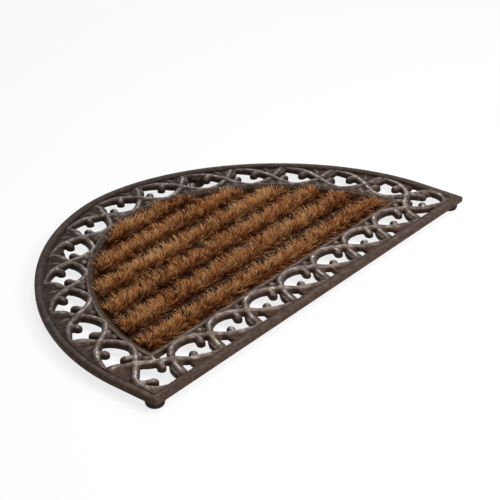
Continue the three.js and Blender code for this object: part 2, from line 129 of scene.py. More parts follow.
def back_curve(turn, inset):
    """Plan points of the rounded back, from right to left, moved inwards by an inset."""
    cos, sin = np.cos(turn), np.abs(np.sin(turn))
    x = np.sign(cos) * np.abs(cos) ** (2 / ROUNDNESS)
    y = sin ** (2 / ROUNDNESS)
    slope = np.stack(
        [np.sign(x) * np.abs(x) ** (ROUNDNESS - 1) / HALF_WIDTH, y ** (ROUNDNESS - 1) / BACK_DEPTH],
        axis=-1,
    )
    slope /= np.linalg.norm(slope, axis=-1, keepdims=True)
    place = np.stack([HALF_WIDTH * x, STRAIGHT_SIDE + BACK_DEPTH * y], axis=-1)
    return place - inset * slope


def half_width(inset, y):
    """Half the width of the inset outline at a distance from the front edge."""
    right = back_curve(np.linspace(0, math.pi / 2, HALF_STEPS), inset)
    return np.interp(y, right[:, 1], right[:, 0])


def outline(inset, steps=OUTLINE_STEPS):
    """The whole inset outline: two front corners, then up the right side and round the back."""
    fine = np.linspace(0, math.pi / 2, SEARCH_STEPS)
    first_y = max(STRAIGHT_SIDE, inset + SIDE_STEP)
    start = fine[np.argmax(back_curve(fine, inset)[:, 1] >= first_y)]
    back = back_curve(np.linspace(start, math.pi - start, steps), inset)
    corner_x = half_width(inset, inset)
    return np.vstack([[-corner_x, inset], [corner_x, inset], back])


walk_turns = np.linspace(0, math.pi, WALK_STEPS)
walk_places = back_curve(walk_turns, BAND_MIDDLE)
walk_steps = np.linalg.norm(np.diff(walk_places, axis=0), axis=1)
walk_lengths = STRAIGHT_SIDE + np.concatenate([[0], np.cumsum(walk_steps)])
WALK_TOTAL = walk_lengths[-1] + STRAIGHT_SIDE


def walk(length, inset):
    """Plan points a given way along the middle of the band, up one side, round and down."""
    curved = back_curve(np.interp(length, walk_lengths, walk_turns), inset)
    rise = np.minimum(length, WALK_TOTAL - length)
    straight_x = np.where(length < WALK_TOTAL / 2, 1, -1) * (HALF_WIDTH - inset)
    straight = np.stack([straight_x, rise], axis=-1)
    return np.where((rise < STRAIGHT_SIDE)[..., None], straight, curved)


print("way round the band, mm:", round(WALK_TOTAL / MM, 1))

# %% [markdown]
# ## Node trees written as Python
# Materials and Geometry Nodes are both node trees. One small class adds a node and joins its
# sockets, and another wraps an output so that plain arithmetic adds Math nodes. That keeps a
# finish readable as an expression, which a long list of links is not.

# %% Node helpers


def find(sockets, key):
    """A socket by number, or the first one in use with that name or identifier."""
    if isinstance(key, int):
        return sockets[key]
    return next(s for s in sockets if s.enabled and key in (s.name, s.identifier))


class Wire:
    """A node's output, on which Python's operators add Math nodes."""

    def __init__(self, graph, socket):
        self.graph = graph
        self.socket = socket

    def out(self, name):
        """Another output of the same node."""
        return Wire(self.graph, find(self.socket.node.outputs, name))

    def maths(self, operation, other):
        return self.graph.node("ShaderNodeMath", {"operation": operation}, {0: self, 1: other})

    __add__ = __radd__ = partialmethod(maths, "ADD")
    __mul__ = __rmul__ = partialmethod(maths, "MULTIPLY")
    __sub__ = partialmethod(maths, "SUBTRACT")
    __truediv__ = partialmethod(maths, "DIVIDE")
    __pow__ = partialmethod(maths, "POWER")

    def __rsub__(self, other):
        return self.graph.node("ShaderNodeMath", {"operation": "SUBTRACT"}, {0: other, 1: self})

    def clamped(self, low, high):
        """This value spread so that low becomes 0 and high becomes 1, and held between."""
        return self.graph.node(
            "ShaderNodeMapRange", {"clamp": True}, {"Value": self, "From Min": low, "From Max": high}
        )


class Graph:
    """A node tree that grows by one joined-up node a call."""

    def __init__(self, tree):
        self.tree = tree

    def node(self, kind, settings=None, values=None, out=0):
        made = self.tree.nodes.new(kind)
        for name, value in (settings or {}).items():
            if name == "stops":
                set_stops(made.color_ramp, value)
            else:
                setattr(made, name, value)
        for key, value in (values or {}).items():
            socket = find(made.inputs, key)
            for item in value if isinstance(value, list) else [value]:
                if isinstance(item, Wire):
                    self.tree.links.new(item.socket, socket)
                else:
                    socket.default_value = item
        return Wire(self, find(made.outputs, out))

    def axis(self, vector, name):
        """One axis of a vector."""
        return self.node("ShaderNodeSeparateXYZ", values={0: vector}, out=name)

    def vector(self, x=0.0, y=0.0, z=0.0):
        """A vector from three numbers or outputs."""
        return self.node("ShaderNodeCombineXYZ", values={0: x, 1: y, 2: z})

    def leave(self, kind, result):
        """Joins a result to the tree's output node."""
        self.tree.links.new(result.socket, self.tree.nodes.new(kind).inputs[0])


def set_stops(ramp, stops):
    """Gives a colour ramp its stops, as pairs of a place and a colour."""
    while len(ramp.elements) < len(stops):
        ramp.elements.new(1)
    for element, (place, colour) in zip(ramp.elements, stops):
        element.position = place
        element.color = (*colour, 1)


# %% Recipes for geometry


class Recipe(Graph):
    """A Geometry Nodes tree with named inputs, ending in Realize Instances and Set Material."""

    def __init__(self, name, inputs):
        super().__init__(bpy.data.node_groups.new(name, "GeometryNodeTree"))
        face = self.tree.interface
        face.new_socket("Geometry", in_out="OUTPUT", socket_type="NodeSocketGeometry")
        for label, kind in {"Geometry": "Geometry", **inputs, "Material": "Material"}.items():
            face.new_socket(label, in_out="INPUT", socket_type="NodeSocket" + kind)
        self.entry = self.tree.nodes.new("NodeGroupInput")

    def given(self, label):
        """One of the recipe's inputs."""
        return Wire(self, find(self.entry.outputs, label))

    def shape(self, label):
        """The geometry of an object that is one of the inputs."""
        return self.node("GeometryNodeObjectInfo", values={"Object": self.given(label)}, out="Geometry")

    def store(self, geometry, name, value, kind="FLOAT", domain="POINT"):
        """Writes a named value on the geometry."""
        return self.node(
            "GeometryNodeStoreNamedAttribute",
            {"data_type": kind, "domain": domain},
            {"Geometry": geometry, "Name": name, "Value": value},
        )

    def stored(self, name, kind="FLOAT"):
        """Reads a named value back."""
        return self.node(
            "GeometryNodeInputNamedAttribute", {"data_type": kind}, {"Name": name}, out="Attribute"
        )

    def sweep(self, curves, section, scale):
        """Sweeps a closed section along curves and caps the ends."""
        values = {"Curve": curves, "Profile Curve": section, "Scale": scale, "Fill Caps": True}
        return self.node("GeometryNodeCurveToMesh", values=values)

    def chance(self, low, high, seed=0):
        """A random value for each point, drawn with a seed of its own."""
        return self.node(
            "FunctionNodeRandomValue",
            {"data_type": "FLOAT"},
            {"Min": low, "Max": high, "Seed": self.given("Seed") + seed},
            out="Value",
        )

    def close(self, geometry):
        whole = self.node("GeometryNodeRealizeInstances", values={0: geometry})
        dressed = self.node(
            "GeometryNodeSetMaterial", values={"Geometry": whole, "Material": self.given("Material")}
        )
        self.leave("NodeGroupOutput", dressed)


def modify(host, kind, **settings):
    """Adds a modifier to an object."""
    modifier = host.modifiers.new(kind.lower(), kind)
    for key, value in settings.items():
        setattr(modifier, key, value)
    return modifier


def frozen(host):
    """The plain mesh that an object's modifiers make. The object itself goes."""
    state = bpy.context.evaluated_depsgraph_get()
    mesh = bpy.data.meshes.new_from_object(
        host.evaluated_get(state), preserve_all_data_layers=True, depsgraph=state
    )
    bpy.data.objects.remove(host)
    return mesh


def grow(name, base, recipe, values, after=()):
    """Runs a recipe on a base mesh and returns what it makes as one plain mesh object."""
    host = link(bpy.data.objects.new(name + "_base", base))
    modifier = modify(host, "NODES", node_group=recipe.tree)
    for item in recipe.tree.interface.items_tree:
        if item.in_out == "INPUT" and item.name in values:
            modifier[item.identifier] = values[item.name]
    for kind, settings in after:
        modify(host, kind, **settings)
    mesh = frozen(host)
    mesh.name = name
    dress(mesh, values["Material"])
    return link(bpy.data.objects.new(name, mesh))


def dress(mesh, material):
    """Leaves one material on a mesh."""
    mesh.materials.clear()
    mesh.materials.append(material)
    mesh.polygons.foreach_set("material_index", [0] * len(mesh.polygons))


def settle(piece, slot, *nodes):
    """Seats a finished piece on the mat's one body, in place of the CAD nodes it stands for."""
    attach(piece, "root")
    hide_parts(*nodes)
    triangles = sum(len(p.vertices) - 2 for p in piece.data.polygons)
    print(f"{piece.name}: {triangles} triangles")


# %% [markdown]
# ## Finish: antique brown cast iron
# The casting has a thin brown-black coat over a sand-cast skin. Raised tops are rubbed to grey
# metal in patches. Walls and hollows take one colour pair and raised tops another, by the way a
# face points and its height: painted light and shade. On the scrollwork and the inner rail the
# walls and hollows get the darker, reddish pair. The back of the mat is darkened and rubbed less:
# painted shade. A picture of iron would smear on the upright walls, so the colour is mixed from
# the way a face points, its height and slow noise. Fine noise in a Bump node gives the sandy skin.
# The rim, the inner rail and the cross bars share the recipe with less wear and duller coats.

# %% Finish helpers


def linear(level):
    """One channel of a colour chart, from 0 to 255, as light."""
    share = level / 255
    return share / 12.92 if level <= 10 else ((share + 0.055) / 1.055) ** 2.4


def colour(red, green, blue):
    """A colour as shader nodes take it."""
    return (linear(red), linear(green), linear(blue), 1.0)


class Finish(Graph):
    """A material in the making, patterned in object coordinates."""

    def __init__(self, name):
        self.material = bpy.data.materials.new(name)
        self.material.use_nodes = True
        self.material.node_tree.nodes.clear()
        super().__init__(self.material.node_tree)
        self.place = self.node("ShaderNodeTexCoord", out="Object")

    def stretched(self, *scale):
        """Object coordinates with a scale of their own along each axis."""
        return self.node("ShaderNodeMapping", values={"Vector": self.place, "Scale": scale})

    def noise(self, scale, detail=3.0, roughness=0.5, place=None):
        """Noise with about so many features a metre."""
        values = {"Vector": place or self.place, "Scale": scale, "Detail": detail, "Roughness": roughness}
        return self.node("ShaderNodeTexNoise", values=values)

    def blend(self, factor, first, second):
        """Mixes two colours."""
        return self.node(
            "ShaderNodeMix",
            {"data_type": "RGBA", "blend_type": "MIX"},
            {"Factor": factor, "A": first, "B": second},
            out="Result",
        )

    def mottled(self, share, pair):
        """A blend of two paint colours."""
        return self.blend(share, colour(*pair[0]), colour(*pair[1]))

    def close(self, values, relief=None, strength=0.3, distance=0.0005):
        """Joins a Principled shader, with an optional bump, to the output."""
        if relief is not None:
            bump = {"Strength": strength, "Distance": distance, "Height": relief}
            values["Normal"] = self.node("ShaderNodeBump", values=bump)
        self.leave("ShaderNodeOutputMaterial", self.node("ShaderNodeBsdfPrincipled", values=values))
        return self.material


# %% Cast iron
# Heights over which faces count as raised tops, for wear and for painted light and shade.
TOP_WEAR_AND_LIGHT_START = 14.4 * MM
TOP_WEAR_AND_LIGHT_FULL = 16.9 * MM
# The back of the mat is blended towards a dark colour and rubbed less: painted shade.
BACK_SHADE_START = -0.15
BACK_SHADE_FULL = 0.05
BACK_SHADE_COLOUR = (30, 22, 18)
BARE_IRON = ((112, 104, 98), (172, 164, 157))


def make_cast_iron(name, wear, metal, gloss, low, high):
    """An iron finish. Wear, metal and gloss are shares; low and high colour walls and tops: painted light
    and shade.
    """
    iron = Finish(name)
    up = iron.axis(iron.node("ShaderNodeNewGeometry", out="Normal"), "Z")
    high_up = iron.axis(iron.place, "Z").clamped(TOP_WEAR_AND_LIGHT_START, TOP_WEAR_AND_LIGHT_FULL)
    back_shade = iron.axis(iron.place, "Y").clamped(BACK_SHADE_START, BACK_SHADE_FULL)
    blotches = iron.noise(75.0, 5.0, 0.7)
    patches = iron.noise(130.0, 4.0, 0.62)
    grain = iron.noise(1100.0, 2.0, 0.6)
    crest = up.clamped(0.55, 0.985) * high_up
    spots = patches.clamped(0.46, 0.7) + 0.2 * grain
    # Rubbed metal thins out towards the back, which darkens it: painted shade.
    worn = (crest * spots * wear * (1.0 - 0.3 * back_shade)).clamped(0.0, 1.0)
    hollow = iron.mottled(patches.clamped(0.35, 0.7), low)
    coated = iron.mottled(blotches.clamped(0.36, 0.66), high)
    rubbed = iron.mottled(grain.clamped(0.4, 0.7), BARE_IRON)
    # Walls and hollows take the low pair and raised tops the high pair: painted light and shade.
    painted = iron.blend(0.58 * back_shade, iron.blend(crest, hollow, coated), colour(*BACK_SHADE_COLOUR))
    values = {
        "Base Color": iron.blend(worn, painted, rubbed),
        "Metallic": metal + (1.0 - metal) * worn,
        "Roughness": 0.62 - gloss * crest - 0.1 * worn,
        "Specular IOR Level": 0.04,
    }
    relief = grain * 0.4 + iron.noise(240.0, 3.0) * 1.4
    return iron.close(values, relief, strength=0.8, distance=0.0006)


# %% The four iron finishes
# Low pairs colour walls and hollows, high pairs raised tops: their difference is painted light and shade.
SCROLL_LOW = ((42, 32, 26), (78, 61, 51))
SCROLL_HIGH = ((60, 48, 41), (98, 82, 73))
RIM_LOW = ((60, 46, 38), (90, 72, 62))
RIM_HIGH = ((42, 31, 24), (72, 55, 45))
RAIL_HIGH = ((68, 55, 45), (104, 88, 75))
BAR_DUST = ((36, 24, 16), (68, 45, 31))
CAST_IRON = make_cast_iron("antique_iron", 0.9, 0.75, 0.28, SCROLL_LOW, SCROLL_HIGH)
RIM_IRON = make_cast_iron("antique_iron_rim", 0.2, 0.3, 0.1, RIM_LOW, RIM_HIGH)
RAIL_IRON = make_cast_iron("antique_iron_rail", 0.5, 0.4, 0.15, RIM_LOW, RAIL_HIGH)
BAR_IRON = make_cast_iron("dusty_iron_bars", 0.2, 0.3, 0.1, BAR_DUST, BAR_DUST)
print("finishes:", ", ".join(m.name for m in (CAST_IRON, RIM_IRON, RAIL_IRON, BAR_IRON)))

# %% [markdown]
# ## Rim, inner rail and cross bars
# A rail that follows the outline is its cross section repeated at each plan point. A sweep
# along a curve would thin at the two sharp corners. So each point of the section becomes its
# own parallel outline instead, and the mitred corners come out true. Sections are lists of
# inset and height in millimetres, with small steps where an edge is rounded. The rim has a
# bead and a fine groove inside its flat top. The inner rail slopes down to the brush.

# %% Solids from lists
SHARP_ANGLE = 40
EDGE_ANGLE = 50


def new_mesh(name, vertices, edges=(), faces=()):
    mesh = bpy.data.meshes.new(name)
    mesh.from_pydata([tuple(v) for v in vertices], edges, faces)
    return mesh


def closed_mesh(name, vertices, faces, ease=0):
    """A mesh whose faces point out, with its edges eased where a size for that is given."""
    mesh = new_mesh(name, vertices, faces=faces)
    body = bmesh.new()
    body.from_mesh(mesh)
    bmesh.ops.recalc_face_normals(body, faces=body.faces)
    if ease:
        edges = [e for e in body.edges if e.calc_face_angle() > math.radians(EDGE_ANGLE)]
        bmesh.ops.bevel(body, geom=edges, offset=ease, segments=2, affect="EDGES")
    body.to_mesh(mesh)
    body.free()
    return mesh


def finished(mesh, material, sharp=SHARP_ANGLE):
    """An object with one material, smooth but for edges sharper than an angle."""
    mesh.set_sharp_from_angle(angle=math.radians(sharp))
    dress(mesh, material)
    return link(bpy.data.objects.new(mesh.name, mesh))


def prism(near, far):
    """Vertices and faces of a closed solid between two rings of points."""
    count = len(near)
    faces = [list(range(count))[::-1], list(range(count, 2 * count))]
    for i in range(count):
        j = (i + 1) % count
        faces.append([i, j, count + j, count + i])
    return [*near, *far], faces


def joined(solids):
    """Vertices and faces of several solids, in one list each."""
    vertices = []
    faces = []
    for points, rims in solids:
        faces += [[len(vertices) + i for i in rim] for rim in rims]
        vertices += points
    return vertices, faces


# %% Rails
RIM_SECTION = [
    (0.8, 0), (0, 0.8), (0, 6.3), (0.25, 7.2), (0.9, 7.9), (2.0, 8.25), (4.4, 8.3), (6.7, 8.1),
    (7.4, 7.8), (7.9, 7.5), (8.4, 7.5), (8.7, 8.0), (9.2, 8.4), (9.8, 8.5), (10.4, 8.1), (10.8, 7.2),
    (11, 6.2), (11, 0.8), (10.2, 0),
]
RAIL_SECTION = [
    (60, 0.5), (60, 6.4), (60.4, 7.3), (61.2, 7.9), (62.2, 8.0), (63.2, 7.7), (64.2, 7.0),
    (65.2, 6.3), (66.6, 5.9), (68.0, 5.7), (68.7, 5.3), (69, 4.6), (69, 0.5),
]


def ring_faces(rings, size):
    """Quads between closed rings of points, the last ring joined to the first."""
    faces = []
    for ring in range(rings):
        for i in range(size):
            a = ring * size + i
            b = ring * size + (i + 1) % size
            step = size if ring + 1 < rings else -ring * size
            faces.append((a, b, b + step, a + step))
    return faces


def make_rail(name, section, finish):
    rings = []
    for inset, height in section:
        plan = outline(inset * MM)
        level = np.full(len(plan), RIM_BOTTOM + height * MM)
        rings.append(np.column_stack([plan[:, 0], plan[:, 1] + FRONT, level]))
    mesh = closed_mesh(name, np.vstack(rings), ring_faces(len(rings), len(rings[0])))
    settle(finished(mesh, finish), "cast_iron", "cast_frame")


make_rail("cast_rim", RIM_SECTION, RIM_IRON)
make_rail("cast_inner_rail", RAIL_SECTION, RAIL_IRON)

# %% Cross bars
BAR_TUCK = 2 * MM
BAR_SECTION = [
    (-4, 0), (-4, 3.4), (-3.6, 4.2), (-2.8, 4.5), (2.8, 4.5), (3.6, 4.2), (4, 3.4), (4, 0),
]


def bar_end(side, middle):
    """The bar's section where it runs into the inner rail, on one side of the mat."""
    points = []
    for across, height in BAR_SECTION:
        y = middle + across * MM
        reach = half_width(BAND_WIDTH, y) + BAR_TUCK
        points.append((side * reach, y + FRONT, SCROLL_BOTTOM + height * MM))
    return points


def make_bars():
    middles = [FIRST_ROW + (bar + 0.5) * ROW_PITCH for bar in range(ROW_COUNT - 1)]
    bars = joined(prism(bar_end(-1, middle), bar_end(1, middle)) for middle in middles)
    mesh = closed_mesh("cast_cross_bars", *bars)
    settle(finished(mesh, BAR_IRON, sharp=60), "cast_iron", "cast_frame")


make_bars()

# %% [markdown]
# ## The scroll motif
# One bay of scrollwork holds two ribbons that cross, a bud over the lower crossing and two
# ball-ended fingers. It repeats seven times along the front and thirteen times round the
# back. The motif is drawn once in bay coordinates: u counts bays from the bay's middle and v
# runs from the rim at 0 to the inner rail at 1. A mapping bends each bay to its place.

# %% Motif
FRONT_BAYS = 7
CURVE_BAYS = 13
FRONT_CORNER = 72.5 * MM
RIGHT_SIDE_CORNER = 60 * MM
LEFT_SIDE_CORNER = 64.5 * MM
FRONT_PITCH = 2 * (HALF_WIDTH - FRONT_CORNER) / FRONT_BAYS
CURVE_PITCH = (WALK_TOTAL - RIGHT_SIDE_CORNER - LEFT_SIDE_CORNER) / CURVE_BAYS

LOW_CROSS = [(-0.5, 0.59)]
HIGH_CROSS = [(0.5, 0.59)]
RISE_LOW = [(-0.7, -0.05), (-0.638, 0.286)]
RISE_HIGH = LOW_CROSS + [(-0.39, 0.77)]
FRONT_PEAK = [(-0.26, 0.915), (-0.07, 0.985), (0.13, 0.955)]
CURVE_PEAK = [(-0.26, 0.915), (-0.05, 1.025), (0.13, 0.965)]
FALL_HIGH = [(0.31, 0.815)] + HIGH_CROSS
FALL_LOW = [(0.69, 0.33), (0.83, 0.2), (1.0, 0.1), (1.25, 0)]
BUD = [(-0.72, 0.03), (-0.69, 0.13), (-0.645, 0.29), (-0.575, 0.45), (-0.52, 0.56)]
OUTER_FINGER = [(-0.28, 0.2), (-0.21, 0.275), (-0.13, 0.41)]
INNER_FINGER = [(0.33, 0.84), (0.285, 0.73), (0.225, 0.585)]
KNUCKLE = [(0.43, 0.7), (0.46, 0.8), (0.495, 0.92)]
RAIL_LEAF = [(0.17, 1.02), (0.32, 0.94), (0.45, 0.82)]
RIM_LEAF = [(-0.36, -0.03), (-0.41, 0.14), (-0.45, 0.32), (-0.45, 0.46)]
print("bay pitches, mm:", round(FRONT_PITCH / MM, 2), round(CURVE_PITCH / MM, 2))

# %% [markdown]
# The two sharp corners break the pattern, so they have a motif of their own: a ring that turns
# round the corner, two fingers and a small link to the inner rail. Its first coordinate runs
# along the front rim and its second along the side rim, both in widths of the openwork.

# %% Corner motif
CORNER_TIE = [(0.93, 0.84)]
LEFT_RING = [(0.347, 0.878), (0.143, 0.694), (0.04, 0.469), (0.08, 0.245), (0.245, 0.08), (0.51, -0.05)]
RIGHT_RING = [(0.42, -0.05), (0.163, 0.1), (0.04, 0.286), (0.01, 0.51), (0.1, 0.74)]
LEFT_OUTER_FINGER = [(0.1, 0.59), (0.204, 0.449), (0.367, 0.337)]
LEFT_INNER_FINGER = [(1.02, 0.85), (0.98, 0.735), (0.9, 0.6)]
RIGHT_OUTER_FINGER = [(0.96, 0.2), (0.867, 0.275), (0.765, 0.408)]
RIGHT_INNER_FINGER = [(0.5, 0.95), (0.44, 0.8), (0.367, 0.66)]
CORNER_LINK = [(0.93, 0.84), (1.04, 1.04)]
CORNER_PLATE = [(-0.05, -0.05), (0.5, -0.05), (0.2, 0.12), (0.08, 0.3), (-0.05, 0.5)]


# %% Places of the motif


def front_bay(x):
    """A bay on the straight edge, as a function from the motif's points to plan places."""
    return lambda points: [
        np.array([x + u * FRONT_PITCH, RIM_WIDTH + v * OPENWORK]) for u, v in points
    ]


def curve_bay(length):
    """A bay on the way round the back."""
    return lambda points: [
        walk(np.array(length + u * CURVE_PITCH), RIM_WIDTH + v * OPENWORK) for u, v in points
    ]


def corner(side):
    """A sharp corner, left at -1 and right at 1."""
    return lambda points: [
        np.array([side * (HALF_WIDTH - RIM_WIDTH - p * OPENWORK), RIM_WIDTH + q * OPENWORK])
        for p, q in points
    ]


def smooth_line(points, steps):
    """A Catmull-Rom curve through plan points."""
    ends = np.vstack([points[:1], points, points[-1:]])
    share = np.linspace(0, len(points) - 1, steps)
    first = np.minimum(share.astype(int), len(points) - 2)
    t = (share - first)[:, None]
    a, b, c, d = (ends[first + k] for k in range(4))
    square = a - 2.5 * b + 2 * c - d / 2
    cube = 1.5 * (b - c) + (d - a) / 2
    return b + t * (c - a) / 2 + t**2 * square + t**3 * cube


# %% Centre lines
RIBBON, BUDDED, FINGERED = 0, 1, 2
OVER_LIFT = 1.3 * MM
UNDER_DIP = -1.3 * MM
CROSS_REACH = 8 * MM
LINE_STEPS = 26

# Shares of the section's size along a line. Ribbons thin at the rim, so they sink into its bead
RIBBON_SWELL = (0.78, 1, 1, 1, 1, 1)
BUD_SWELL = (0.95, 1.12, 1.12, 0.85, 0.5)
FINGER_SWELL = (0.85, 1.05)
LEAF_SWELL = (0.7, 0.85, 0.6)


class CentreLines:
    """Centre lines of the scrollwork, gathered as edges with a kind and a swell at each point."""

    def __init__(self):
        self.points, self.edges, self.kinds, self.swells = [], [], [], []

    def add(self, kind, plan, swell=(1, 1), lift=0.0, crossings=()):
        """Adds one line, lifted or dipped where it crosses another."""
        line = smooth_line(np.array(plan), LINE_STEPS)
        level = np.full(len(line), SCROLL_BOTTOM)
        for crossing in crossings:
            gap = np.linalg.norm(line - crossing, axis=1)
            level += lift * np.exp(-((gap / CROSS_REACH) ** 2))
        first = len(self.points)
        self.points += [(x, y + FRONT, z) for (x, y), z in zip(line, level)]
        self.edges += [(first + i, first + i + 1) for i in range(len(line) - 1)]
        self.kinds += [kind] * len(line)
        share = np.linspace(0, 1, len(line))
        self.swells += list(np.interp(share, np.linspace(0, 1, len(swell)), swell))

    def mesh(self, name):
        mesh = new_mesh(name, self.points, self.edges)
        mesh.attributes.new("kind", "INT", "POINT").data.foreach_set("value", self.kinds)
        mesh.attributes.new("swell", "FLOAT", "POINT").data.foreach_set("value", self.swells)
        return mesh


lines = CentreLines()
bays = []


# %% One bay
BAY_LINES = (
    (BUDDED, BUD, BUD_SWELL),
    (FINGERED, OUTER_FINGER, FINGER_SWELL),
    (FINGERED, INNER_FINGER, (0.9, 1.05)),
    (FINGERED, KNUCKLE, (0.6, 0.75)),
    (RIBBON, RAIL_LEAF, LEAF_SWELL),
)


def add_bay(place, peak, rise_low, fall_low):
    """Two ribbons that cross their neighbours, and what grows between them."""
    bays.append(place)
    rise = rise_low + place(RISE_HIGH + peak)
    fall = place(peak + FALL_HIGH) + fall_low
    lines.add(RIBBON, rise, RIBBON_SWELL, UNDER_DIP, place(LOW_CROSS))
    lines.add(RIBBON, fall, RIBBON_SWELL[::-1], OVER_LIFT, place(HIGH_CROSS))
    for kind, points, swell in BAY_LINES:
        lines.add(kind, place(points), swell)


# %% Bays and corners all the way round
first_front = -HALF_WIDTH + FRONT_CORNER + FRONT_PITCH / 2
first_curve = RIGHT_SIDE_CORNER + CURVE_PITCH / 2
before_front = front_bay(first_front - FRONT_PITCH)
after_front = front_bay(first_front + FRONT_BAYS * FRONT_PITCH)
before_curve = curve_bay(first_curve - CURVE_PITCH)
after_curve = curve_bay(first_curve + CURVE_BAYS * CURVE_PITCH)
left = corner(-1)
right = corner(1)


def add_bays():
    for i in range(FRONT_BAYS):
        place = front_bay(first_front + i * FRONT_PITCH)
        add_bay(place, FRONT_PEAK, place(RISE_LOW), place(FALL_LOW))
    for i in range(CURVE_BAYS):
        place = curve_bay(first_curve + i * CURVE_PITCH)
        if i > 0:
            lines.add(RIBBON, place(RIM_LEAF), LEAF_SWELL)
        low = right(RIGHT_RING) if i == 0 else place(RISE_LOW)
        tail = left(LEFT_RING) if i == CURVE_BAYS - 1 else place(FALL_LOW)
        add_bay(place, CURVE_PEAK, low, tail)


def add_corner(before, tie, after, fingers):
    """A ribbon past a corner, a bud and a link, and the corner's fingers."""
    plan = before(RISE_LOW + LOW_CROSS) + tie(CORNER_TIE) + after(HIGH_CROSS + FALL_LOW)
    crossings = before(LOW_CROSS) + after(HIGH_CROSS)
    lines.add(RIBBON, plan, (*RIBBON_SWELL, RIBBON_SWELL[0]), OVER_LIFT, crossings)
    lines.add(BUDDED, before(BUD), BUD_SWELL)
    lines.add(RIBBON, tie(CORNER_LINK))
    for finger in fingers:
        lines.add(FINGERED, tie(finger), FINGER_SWELL)


add_bays()
add_corner(after_curve, left, before_front, (LEFT_OUTER_FINGER, LEFT_INNER_FINGER))
add_corner(after_front, right, before_curve, (RIGHT_OUTER_FINGER, RIGHT_INNER_FINGER))
print("centre line points:", len(lines.points))

# %% [markdown]
# ## Sweeping the scrollwork and casting it in one
# On the real mat the ribbons are one casting, so they melt into each other at the crossings.
# Geometry Nodes sweep a domed section along each centre line and set a ball on each finger's
# end. A voxel remesh then fuses the overlapping sweeps, and a light smoothing gives the soft
# inner corners that sand casting leaves. Boolean unions would leave hard creases instead.

# %% Sections to sweep
RIBBON_SECTION = [
    (-4.6, 0), (-4.8, 0.5), (-4.8, 4.0), (-4.5, 5.5), (-3.6, 6.8), (-2.0, 7.8), (0, 8.2),
    (2.0, 7.8), (3.6, 6.8), (4.5, 5.5), (4.8, 4.0), (4.8, 0.5), (4.6, 0),
]
BUD_SECTION = [
    (-6.7, 0), (-7.2, 0.6), (-7.2, 3.4), (-6.7, 4.9), (-5.5, 5.7), (-4.3, 5.3), (-3.4, 5.7),
    (-2.1, 7.1), (0, 7.6), (2.1, 7.1), (3.4, 5.7), (4.3, 5.3), (5.5, 5.7), (6.7, 4.9),
    (7.2, 3.4), (7.2, 0.6), (6.7, 0),
]


def section_curve(name, section):
    """A closed profile curve, drawn downwards because the sweep turns it over."""
    curve = bpy.data.curves.new(name, "CURVE")
    curve.dimensions = "3D"
    spline = curve.splines.new("POLY")
    spline.points.add(len(section) - 1)
    spline.use_cyclic_u = True
    for point, (across, height) in zip(spline.points, section):
        point.co = (across * MM, -height * MM, 0, 1)
    return bpy.data.objects.new(name, curve)


# %% Webs, corner plates and foot bosses
RAIL_WEB = [(0.02, 1.04), (0.47, 1.04), (0.45, 0.9), (0.46, 0.74), (0.5, 0.6), (0.3, 0.8)]
BUD_WEB = [(-0.6, 0.5), (-0.47, 0.55), (-0.38, 0.4), (-0.5, 0.3)]
CURVE_WEB = [(-0.6, -0.05), (-0.3, -0.05), (-0.3, 0.34), (-0.46, 0.5), (-0.58, 0.4)]
RIM_WEB = [(-0.37, -0.05), (0.26, -0.05), (0.02, 0.1), (-0.16, 0.2), (-0.3, 0.32), (-0.38, 0.2)]
FIRST_WEB = [(-0.8, 1.04), (-0.58, 1.04), (-0.57, 0.86), (-0.57, 0.7), (-0.76, 0.82)]
WEB_HEIGHT = 5 * MM
BOSS_RADIUS = 10 * MM
BOSS_HEIGHT = 5 * MM
BOSS_SIDES = 24
PLATE_HEIGHT = 6.5 * MM
BACK_FEET = ("foot_back_left", "foot_back_right")


def upright(plan, bottom, top):
    """Vertices and faces of a plate over a plan, between two heights."""
    return prism(*([(x, y + FRONT, z) for x, y in plan] for z in (bottom, top)))


def box_middle(node):
    """The middle of a CAD node's box."""
    low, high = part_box(node)
    return (low + high) / 2


def disc(node):
    """The plan of a round boss over a foot."""
    middle = box_middle(node)
    turns = np.linspace(0, 2 * math.pi, BOSS_SIDES, endpoint=False)
    x = middle.x + BOSS_RADIUS * np.cos(turns)
    y = middle.y - FRONT + BOSS_RADIUS * np.sin(turns)
    return list(zip(x, y))


def make_plates():
    """Webs between ribbons, plates in the corners and bosses for the back feet, in one object."""
    webs = [(place, web) for place in bays for web in (RAIL_WEB, BUD_WEB, RIM_WEB)]
    webs += [(bays[0], FIRST_WEB), (bays[FRONT_BAYS], FIRST_WEB)]
    webs += [(place, CURVE_WEB) for place in bays[FRONT_BAYS + 1 :] + [after_curve]]
    web_top = SCROLL_BOTTOM + WEB_HEIGHT
    plates = [upright(place(web), SCROLL_BOTTOM, web_top) for place, web in webs]
    for place in (left, right):
        plates.append(upright(place(CORNER_PLATE), RIM_BOTTOM, RIM_BOTTOM + PLATE_HEIGHT))
    for node in BACK_FEET:
        plates.append(upright(disc(node), RIM_BOTTOM, RIM_BOTTOM + BOSS_HEIGHT))
    return bpy.data.objects.new("plates", closed_mesh("plates", *joined(plates)))


# %% Sweep the lines


def of_kind(recipe, kind):
    """True on the centre lines of one kind."""
    return recipe.node(
        "FunctionNodeCompare",
        {"data_type": "INT", "operation": "EQUAL"},
        {"A": recipe.stored("kind", "INT"), "B": kind},
    )


def sweep_lines(recipe, curves):
    """Sweeps one section along the buds and the other along all other lines."""
    buds = recipe.node(
        "GeometryNodeSeparateGeometry",
        {"domain": "POINT"},
        {"Geometry": curves, "Selection": of_kind(recipe, BUDDED)},
    )
    swept = []
    for strands, label in ((buds, "Bud section"), (buds.out("Inverted"), "Ribbon section")):
        swept.append(recipe.sweep(strands, recipe.shape(label), recipe.stored("swell")))
    return swept


# %% Finger ends
BALL_SIDES = 20
BALL_RINGS = 12
BALL_FLATNESS = 0.78


